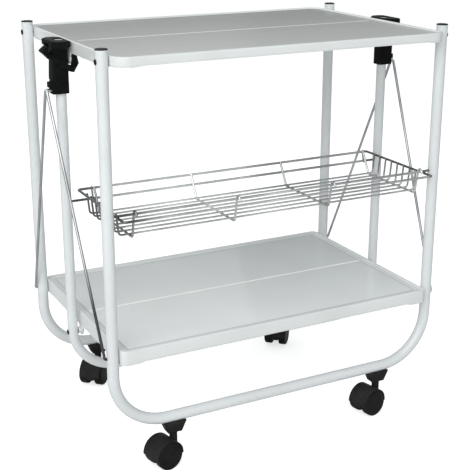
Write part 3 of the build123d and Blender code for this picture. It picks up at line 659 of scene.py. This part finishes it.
@dataclass
class TrayHalf:
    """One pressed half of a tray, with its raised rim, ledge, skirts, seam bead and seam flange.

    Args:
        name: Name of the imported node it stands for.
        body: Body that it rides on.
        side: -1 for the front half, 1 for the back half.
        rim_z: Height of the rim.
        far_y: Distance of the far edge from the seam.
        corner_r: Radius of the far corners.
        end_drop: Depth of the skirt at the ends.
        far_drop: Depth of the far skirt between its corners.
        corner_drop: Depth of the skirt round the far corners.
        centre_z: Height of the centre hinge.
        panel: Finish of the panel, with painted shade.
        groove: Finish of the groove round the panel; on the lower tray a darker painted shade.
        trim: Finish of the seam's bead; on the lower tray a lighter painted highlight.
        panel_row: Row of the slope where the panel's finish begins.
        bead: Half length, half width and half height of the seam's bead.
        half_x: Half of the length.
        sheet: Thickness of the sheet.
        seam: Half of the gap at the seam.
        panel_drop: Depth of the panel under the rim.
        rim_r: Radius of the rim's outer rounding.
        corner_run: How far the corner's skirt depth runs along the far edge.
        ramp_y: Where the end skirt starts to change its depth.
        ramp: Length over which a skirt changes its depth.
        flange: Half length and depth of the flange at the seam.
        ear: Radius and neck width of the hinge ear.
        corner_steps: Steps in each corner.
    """

    name: str
    body: str
    side: int
    rim_z: float
    far_y: float
    corner_r: float
    end_drop: float
    far_drop: float
    corner_drop: float
    centre_z: float
    panel: Finish
    groove: Finish
    trim: Finish
    panel_row: int
    bead: Point
    half_x: float = 309.7
    sheet: float = 1.2
    seam: float = 0.3
    panel_drop: float = 3.2
    rim_r: float = 2.2
    corner_run: float = 34.0
    ramp_y: float = 176.0
    ramp: float = 12.0
    flange: Flat = (289.0, 7.0)
    ear: Flat = (8.8, 17.0)
    corner_steps: int = 10

    LEAST_RADIUS: ClassVar[float] = 3.0
    # Depth of the skirt while the shell is drawn, before the hem gives it its own.
    START_DROP: ClassVar[float] = 10.0
    # Rows from the middle of the underside, round the skirt, to the panel: inset and height.
    SKIRT_ROWS: ClassVar[tuple[Flat, ...]] = (
        (1.2, 0.5),
        (0.9, 0.0),
        (0.3, 0.0),
        (0.0, 0.3),
        (0.0, 0.9),
        (0.55, 1.3),
        (0.55, 2.0),
        (0.0, 2.4),
    )
    RIM_TURNS: ClassVar[tuple[float, ...]] = (0.0, 0.4, 0.8, 1.2, pi / 2)
    SLOPE_ROWS: ClassVar[tuple[Flat, ...]] = (
        (4.5, -0.12),
        (5.1, -0.6),
        (6.1, -1.9),
        (6.8, -2.35),
        (8.0, -2.5),
        (14.2, -2.75),
        (15.2, -3.2),
        (15.9, -3.5),
        (16.7, -3.5),
        (17.6, -3.25),
        (19.0, -3.2),
    )
    # Rows of the slope between which the groove round the panel lies.
    GROOVE_ROW: ClassVar[int] = 6
    INNER_ROW: ClassVar[int] = 9
    # Places along a ramp where the skirt is cut, as shares of its length.
    RAMP_CUTS: ClassVar[tuple[float, ...]] = (0.0, 0.5, 1.0)
    # First and last angle of the hinge ear's round end, in degrees, and its steps.
    EAR_TURN: ClassVar[Flat] = (180.0, 400.0)
    EAR_STEPS: ClassVar[int] = 26

    @property
    def soft(self) -> float:
        """Width of the softened edges of the flange and the ears."""
        return self.sheet / 5

    def build(self, shelf: MaterialShelf) -> bpy.types.Object:
        """Draw the half and publish it.

        Args:
            shelf: Where the material comes from.

        Returns:
            The finished object.
        """
        draft = Draft(f"{self.name}_shell", self.body, Finish.TRAY_ENAMEL)
        self._press(draft)
        self._hem(draft)
        cut = draft.slice((0.0, self.side * self.seam, 0.0), (0.0, float(self.side), 0.0), keep_front=True)
        bmesh.ops.contextual_create(draft.bm, geom=cut)
        self._seam(draft)
        if self.side < 0:
            self._ears(draft)
        return draft.publish(shelf, self.name)

    def _outline(self, draft: Draft, inset: float, z: float, filled: bool) -> Edges:
        """Draw the whole tray's outline.

        Args:
            draft: The draft.
            inset: How far the outline is moved in.
            z: Its height over the rim.
            filled: Whether it keeps its face.

        Returns:
            The edges of the outline.
        """
        radius = max(self.corner_r - inset, self.LEAST_RADIUS)
        half = (self.half_x - inset, self.far_y - inset)
        return draft.round_outline(half, radius, self.rim_z + z, self.corner_steps, filled)

    def _drop(self, x: float, y: float) -> float:
        """Depth of the skirt at a plan point, eased from one depth to the next.

        Args:
            x: Place along the tray.
            y: Place across it.

        Returns:
            The depth.
        """
        if abs(y) < self.far_y - 2.0 * self.rim_r:
            start = self.end_drop
            share = (abs(y) - self.ramp_y) / self.ramp
        else:
            start = self.far_drop
            share = (abs(x) - self.half_x + self.corner_run + self.ramp) / self.ramp
        share = min(1.0, max(0.0, share))
        return start + (self.corner_drop - start) * share * share * (3.0 - 2.0 * share)

    def _press(self, draft: Draft) -> None:
        """Draw the whole tray as one closed shell, both halves at once.

        Args:
            draft: The draft.
        """
        rows = [(self.sheet, -self.panel_drop - self.sheet)]
        rows += [(inset, up - self.START_DROP) for inset, up in self.SKIRT_ROWS]
        rows += [(self.rim_r * (1.0 - cos(turn)), self.rim_r * (sin(turn) - 1.0)) for turn in self.RIM_TURNS]
        rows += [(self.SLOPE_ROWS[0][0] - self.sheet / 2, 0.0)]
        crest = len(rows)
        rows += self.SLOPE_ROWS
        last = len(rows) - 1
        loops = [self._outline(draft, *row, filled=place in (0, last)) for place, row in enumerate(rows)]
        top = max(draft.bm.faces, key=lambda face: face.calc_center_median().z)
        draft.paint([top], self.panel)
        for place in range(last):
            faces = draft.bridge(loops[place], loops[place + 1])
            # The groove and the panel take finishes with painted shade.
            if self.GROOVE_ROW <= place - crest < self.INNER_ROW:
                draft.paint(faces, self.groove)
            elif place - crest >= self.panel_row:
                draft.paint(faces, self.panel)

    def _hem(self, draft: Draft) -> None:
        """Give the skirt its depth, which changes towards the corners.

        Args:
            draft: The draft.
        """
        deep = self.half_x - self.corner_run
        for part in self.RAMP_CUTS:
            for way in (-1, 1):
                draft.slice((way * (deep - self.ramp * part), 0.0, 0.0), (1.0, 0.0, 0.0))
                draft.slice((0.0, way * (self.ramp_y + self.ramp * part), 0.0), (0.0, 1.0, 0.0))
        for vert in draft.bm.verts:
            if vert.co.z < self.rim_z - self.START_DROP / 2:
                vert.co.z -= self._drop(vert.co.x, vert.co.y) - self.START_DROP

    def _seam(self, draft: Draft) -> None:
        """Add the flange under the seam and the bead along it.

        Args:
            draft: The draft.
        """
        long, deep = self.flange
        near = self.side * self.seam
        far = self.side * (self.seam + self.sheet)
        top = self.rim_z - self.panel_drop - self.sheet
        draft.plate([(near, top), (far, top), (far, top - deep), (near, top - deep)], -long, long, self.soft)
        half_length, half_width, half_height = self.bead
        middle = self.side * (self.seam + half_width)
        known = set(draft.bm.faces)
        draft.bead((0.0, middle, self.rim_z - self.panel_drop), half_length, half_width, half_height)
        draft.paint([face for face in draft.bm.faces if face not in known], self.trim)

    def _ears(self, draft: Draft) -> None:
        """Add the front half's two hinge ears under the seam's ends.

        Args:
            draft: The draft.
        """
        ear_r, neck = self.ear
        skirt = self.rim_z - self.end_drop
        lug = [(-self.seam, skirt), (-neck, skirt)]
        lug += arc((0.0, self.centre_z), ear_r, *self.EAR_TURN, self.EAR_STEPS)
        for end in (-1, 1):
            inner = end * (self.half_x - self.sheet)
            outer = end * self.half_x
            draft.plate(lug, min(inner, outer), max(inner, outer), self.soft)


@dataclass
class Caster:
    """One twin-wheel caster: its wheels are turned, and its other pieces stay as packed.

    Args:
        name: Name that its bodies and nodes start with.
        stem: Plan place of the swivel stem.
        trail: Direction in which the wheels trail, in degrees.
        wheel_r: Radius of the wheels.
        reach: Distance from the stem to the axle.
        gap: Half of the gap between the wheels.
        width: Width of each wheel.
        steps: Sides of the turned wheels.
    """

    name: str
    stem: Flat
    trail: float
    wheel_r: float = 25.0
    reach: float = 22.0
    gap: float = 8.0
    width: float = 15.0
    steps: int = 64

    # The wheel's profile on its outer and inner face: how far in from the tread, and from the face.
    OUTER_ROWS: ClassVar[tuple[Flat, ...]] = (
        (0.0, 3.2),
        (0.1, 2.1),
        (0.5, 1.0),
        (1.3, 0.25),
        (2.2, 0.05),
        (2.8, 0.15),
        (3.2, 0.55),
        (3.7, 0.6),
        (4.1, 0.35),
        (6.0, 0.2),
        (11.0, 0.08),
        (17.0, 0.02),
    )
    INNER_ROWS: ClassVar[tuple[Flat, ...]] = ((2.6, 0.4), (1.4, 0.1), (0.5, 0.7), (0.05, 1.8), (0.0, 3.0))

    def build(self, shelf: MaterialShelf) -> bpy.types.Object:
        """Turn both wheels and publish them.

        Args:
            shelf: Where the material comes from.

        Returns:
            The finished object.
        """
        ahead = Vector((cos(radians(self.trail)), sin(radians(self.trail)), 0.0))
        axle = Vector((ahead.y, -ahead.x, 0.0))
        hub = Vector((*self.stem, self.wheel_r)) + ahead * self.reach
        far = self.gap + self.width
        profile = [(0.0, self.gap + self.INNER_ROWS[0][1])]
        profile += [(self.wheel_r - less, self.gap + place) for less, place in self.INNER_ROWS]
        profile += [(self.wheel_r - less, far - place) for less, place in self.OUTER_ROWS]
        profile += [(0.0, far)]
        draft = Draft(f"{self.name}_wheel_pair", f"{self.name}_roller", Finish.WHEEL_PLASTIC)
        for way in (-1, 1):
            draft.turn(profile, hub, axle * way, self.steps)
        return draft.publish(shelf, f"{self.name}_wheels")


@dataclass
class SoftPiece:
    """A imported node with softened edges: a copy of its shape, with every sharp edge rounded.

    Args:
        node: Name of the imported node.
        body: Body that it rides on.
        finish: Finish of the piece.
        width: Width of the rounding.
    """

    node: str
    body: str
    finish: Finish
    width: float

    FLAT: ClassVar[float] = radians(0.5)

    def build(self, packed: bpy.types.Object, shelf: MaterialShelf) -> bpy.types.Object:
        """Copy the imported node's shape, round its edges, and let it stand for the node.

        Args:
            packed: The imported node's object, which stays as it is.
            shelf: Where the material comes from.

        Returns:
            The finished object.
        """
        draft = Draft(f"{self.node}_soft", self.body, self.finish)
        draft.bm.from_mesh(packed.data)
        bmesh.ops.scale(draft.bm, vec=(1 / MM, 1 / MM, 1 / MM), verts=draft.bm.verts)
        bmesh.ops.remove_doubles(draft.bm, verts=draft.bm.verts, dist=2 * Draft.MERGE)
        bmesh.ops.dissolve_limit(
            draft.bm, angle_limit=self.FLAT, verts=draft.bm.verts, edges=draft.bm.edges
        )
        draft.soften(self.width)
        return draft.publish(shelf, self.node)


@dataclass(frozen=True)
class Lamp:
    """One soft square lamp that faces the trolley.

    Args:
        name: Name of the lamp.
        place: Where it hangs, in metres.
        size: Length of its side.
        power: Its power in watts.
        target: What it faces.
    """

    name: str
    place: Point
    size: float
    power: float
    target: Point = (0.0, 0.0, 0.4)

    def hang(self) -> bpy.types.Object:
        """Add the lamp to the scene.

        Returns:
            The lamp object.
        """
        data = bpy.data.lights.new(self.name, "AREA")
        data.shape = "SQUARE"
        data.size = self.size
        data.energy = self.power
        obj = bpy.data.objects.new(self.name, data)
        away = Vector(self.place) - Vector(self.target)
        turn = away.to_track_quat("Z", "Y").to_matrix().to_4x4()
        obj.matrix_world = Matrix.Translation(self.place) @ turn
        bpy.context.scene.collection.objects.link(obj)
        return obj


@dataclass
class Studio:
    """The pale floor, the soft light and the camera of the photograph.

    Args:
        eye: Where the camera stands, in metres.
        azimuth: Direction from the trolley to the camera, in degrees.
        elevation: How steeply the camera looks down, in degrees.
        roll: Turn of the camera about its view, in degrees.
        focal: Focal length, in pixels of the photograph.
        sensor: Width of the camera's sensor, in millimetres.
        clip: Nearest and farthest distance that the camera sees.
        sky: Colour of the light from the surroundings.
        sky_power: Strength of that light.
        floor_half: Half of the floor's side.
        floor_color: Colour of the floor.
        floor_glow: How much lighter the camera sees the floor.
        lamps: The lamps.
    """

    eye: Point = (-0.88706, -1.69174, 0.97243)
    azimuth: float = -27.795
    elevation: float = 18.568
    roll: float = 0.147
    focal: float = 1063.3
    sensor: float = 36.0
    clip: Flat = (0.05, 50.0)
    sky: Color = (0.94, 0.98, 1.0)
    sky_power: float = 0.42
    floor_half: float = 9.0
    floor_color: Color = (0.8, 0.8, 0.8)
    floor_glow: float = 0.66
    lamps: tuple[Lamp, ...] = (
        Lamp("key", (-2.2, -2.3, 2.6), 4.2, 124.0),
        Lamp("fill", (2.4, -2.8, 1.5), 3.4, 8.0),
        Lamp("back", (0.3, 2.8, 2.7), 3.0, 13.0),
    )

    def build(self) -> None:
        """Set up the whole studio."""
        bpy.context.scene.view_settings.view_transform = "Standard"
        self._camera()
        self._world()
        self._floor()
        for lamp in self.lamps:
            lamp.hang()

    def _camera(self) -> None:
        """Add the camera where the photograph was taken from."""
        azimuth = radians(self.azimuth)
        elevation = radians(self.elevation)
        roll = radians(self.roll)
        back = Vector((sin(azimuth) * cos(elevation), -cos(azimuth) * cos(elevation), sin(elevation)))
        level = Vector((cos(azimuth), sin(azimuth), 0.0))
        upright = back.cross(level)
        right = level * cos(roll) + upright * sin(roll)
        up = upright * cos(roll) - level * sin(roll)
        data = bpy.data.cameras.new("photo_camera")
        data.sensor_width = self.sensor
        data.lens = self.focal / PHOTO_SIZE * self.sensor
        data.clip_start, data.clip_end = self.clip
        obj = bpy.data.objects.new("photo_camera", data)
        obj.matrix_world = Matrix.Translation(self.eye) @ Matrix((right, up, back)).transposed().to_4x4()
        bpy.context.scene.collection.objects.link(obj)
        bpy.context.scene.camera = obj

    def _world(self) -> None:
        """Light the surroundings softly, and show them white to the camera."""
        world = bpy.data.worlds.new("studio")
        bpy.context.scene.world = world
        world.use_nodes = True
        nodes, links = world.node_tree.nodes, world.node_tree.links
        nodes.clear()
        out = nodes.new("ShaderNodeOutputWorld")
        mix = nodes.new("ShaderNodeMixShader")
        light = nodes.new("ShaderNodeBackground")
        light.inputs["Color"].default_value = (*self.sky, 1.0)
        light.inputs["Strength"].default_value = self.sky_power
        shown = nodes.new("ShaderNodeBackground")
        shown.inputs["Color"].default_value = WHITE
        path = nodes.new("ShaderNodeLightPath")
        links.new(path.outputs["Is Camera Ray"], mix.inputs["Fac"])
        links.new(light.outputs["Background"], mix.inputs[1])
        links.new(shown.outputs["Background"], mix.inputs[2])
        links.new(mix.outputs["Shader"], out.inputs["Surface"])

    def _floor(self) -> None:
        """Lay the pale floor, which shows white but keeps the trolley's shadow."""
        bm = bmesh.new()
        bmesh.ops.create_grid(bm, x_segments=2, y_segments=2, size=self.floor_half)
        mesh = bpy.data.meshes.new("floor")
        bm.to_mesh(mesh)
        bm.free()
        mat = bpy.data.materials.new("pale_floor")
        mat.use_nodes = True
        nodes, links = mat.node_tree.nodes, mat.node_tree.links
        nodes.clear()
        out = nodes.new("ShaderNodeOutputMaterial")
        matt = nodes.new("ShaderNodeBsdfDiffuse")
        matt.inputs["Color"].default_value = (*self.floor_color, 1.0)
        path = nodes.new("ShaderNodeLightPath")
        strength = nodes.new("ShaderNodeMath")
        strength.operation = "MULTIPLY"
        strength.inputs[1].default_value = self.floor_glow
        glow = nodes.new("ShaderNodeEmission")
        add = nodes.new("ShaderNodeAddShader")
        links.new(path.outputs["Is Camera Ray"], strength.inputs[0])
        links.new(strength.outputs["Value"], glow.inputs["Strength"])
        links.new(matt.outputs["BSDF"], add.inputs[0])
        links.new(glow.outputs["Emission"], add.inputs[1])
        links.new(add.outputs["Shader"], out.inputs["Surface"])
        mesh.materials.append(mat)
        obj = bpy.data.objects.new("floor", mesh)
        bpy.context.scene.collection.objects.link(obj)


@dataclass
class Trolley:
    """The whole dressed trolley.

    Args:
        shelf: Where the materials come from.
        stem: Plan distance of the casters' stems from the middle, along and across.
        front_trail: Direction in which the front casters trail, in degrees.
        back_trail: Direction in which the back casters trail.
        slider_soft: Width of the sliders' rounded edges.
        latch_soft: Width of the latches' rounded edges.
        socket_soft: Width of the sockets' rounded edges.
        hood_soft: Width of the hoods' rounded edges.
    """

    frame: dict
    shelf: MaterialShelf
    stem: Flat = (213.0, 184.0)
    front_trail: float = 193.0
    back_trail: float = 227.0
    slider_soft: float = 0.7
    latch_soft: float = 0.5
    socket_soft: float = 0.8
    hood_soft: float = 0.5

    # Imported nodes whose finish isn't their slot's own: the left front stay gets a painted dark reflection
    # low down.
    OWN_FINISH: ClassVar[dict[str, Finish]] = {"left_front_stay": Finish.FRONT_WIRE_REFLECTION}

    def build(self) -> None:
        """Dress the trolley piece by piece."""
        self._paint_packed()
        for piece in self._trays() + self._casters():
            piece.build(self.shelf)
        for piece in self._softened():
            piece.build(self.frame["nodes"][piece.node], self.shelf)

    def _paint_packed(self) -> None:
        """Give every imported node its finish."""
        slots = {part["node"]: part["material_slot"] for part in self.frame["record"]["subparts"]}
        for name, obj in self.frame["nodes"].items():
            material = self.shelf.get(self.OWN_FINISH.get(name, Finish(slots[name])))
            if not obj.material_slots:
                obj.data.materials.append(material)
            for held in obj.material_slots:
                held.material = material
            log.info("%s is painted with %s", name, material.name)

    def _trays(self) -> list[TrayHalf]:
        """The four tray halves, two to a tray.

        Returns:
            The halves.
        """
        upper = dict(
            rim_z=719.0,
            far_y=216.0,
            corner_r=26.0,
            end_drop=20.5,
            far_drop=15.0,
            corner_drop=16.5,
            centre_z=687.5,
            panel=Finish.SHADED_UPPER_PANEL,
            groove=Finish.SHADED_UPPER_PANEL,
            trim=Finish.TRAY_ENAMEL,
            panel_row=4,
            bead=(291.0, 0.7, 0.42),
        )
        lower = dict(
            rim_z=234.0,
            far_y=201.0,
            corner_r=12.0,
            end_drop=25.5,
            far_drop=22.5,
            corner_drop=25.5,
            centre_z=198.5,
            panel=Finish.SHADED_LOWER_PANEL,
            groove=Finish.LOWER_GROOVE_SHADE,
            trim=Finish.LOWER_SEAM_HIGHLIGHT,
            panel_row=6,
            bead=(291.0, 1.0, 0.78),
        )
        return [
            TrayHalf(f"{level}_{row}_tray", f"{level}_{row}", side, **sizes)
            for level, sizes in (("upper", upper), ("lower", lower))
            for row, side in (("front", -1), ("back", 1))
        ]

    def _casters(self) -> list[Caster]:
        """The four casters.

        Returns:
            The casters.
        """
        along, across = self.stem
        return [
            Caster(f"{row}_{end}", (way * along, place), trail)
            for row, place, trail in (("front", -across, self.front_trail), ("back", across, self.back_trail))
            for end, way in (("left", -1), ("right", 1))
        ]

    def _softened(self) -> list[SoftPiece]:
        """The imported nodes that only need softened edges.

        Returns:
            Their pieces.
        """
        pieces = []
        for end in ("left", "right"):
            grip = Finish.GRIP_PLASTIC
            pieces.append(SoftPiece(f"{end}_slider", f"{end}_handle", grip, self.slider_soft))
            pieces.append(SoftPiece(f"{end}_latch", f"{end}_latch", grip, self.latch_soft))
        for row in ("front", "back"):
            black = Finish.BLACK_PLASTIC
            pieces.append(SoftPiece(f"{row}_sockets", f"{row}_frame", black, self.socket_soft))
            for end in ("left", "right"):
                pieces.append(SoftPiece(f"{row}_{end}_hood", f"{row}_{end}_caster", black, self.hood_soft))
        return pieces


def main() -> None:
    """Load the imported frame, dress it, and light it."""
    logging.basicConfig(level=logging.INFO)
    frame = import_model()
    Studio().build()
    Trolley(frame, MaterialShelf()).build()
    bpy.context.view_layer.update()


if __name__ == "__main__":
    main()
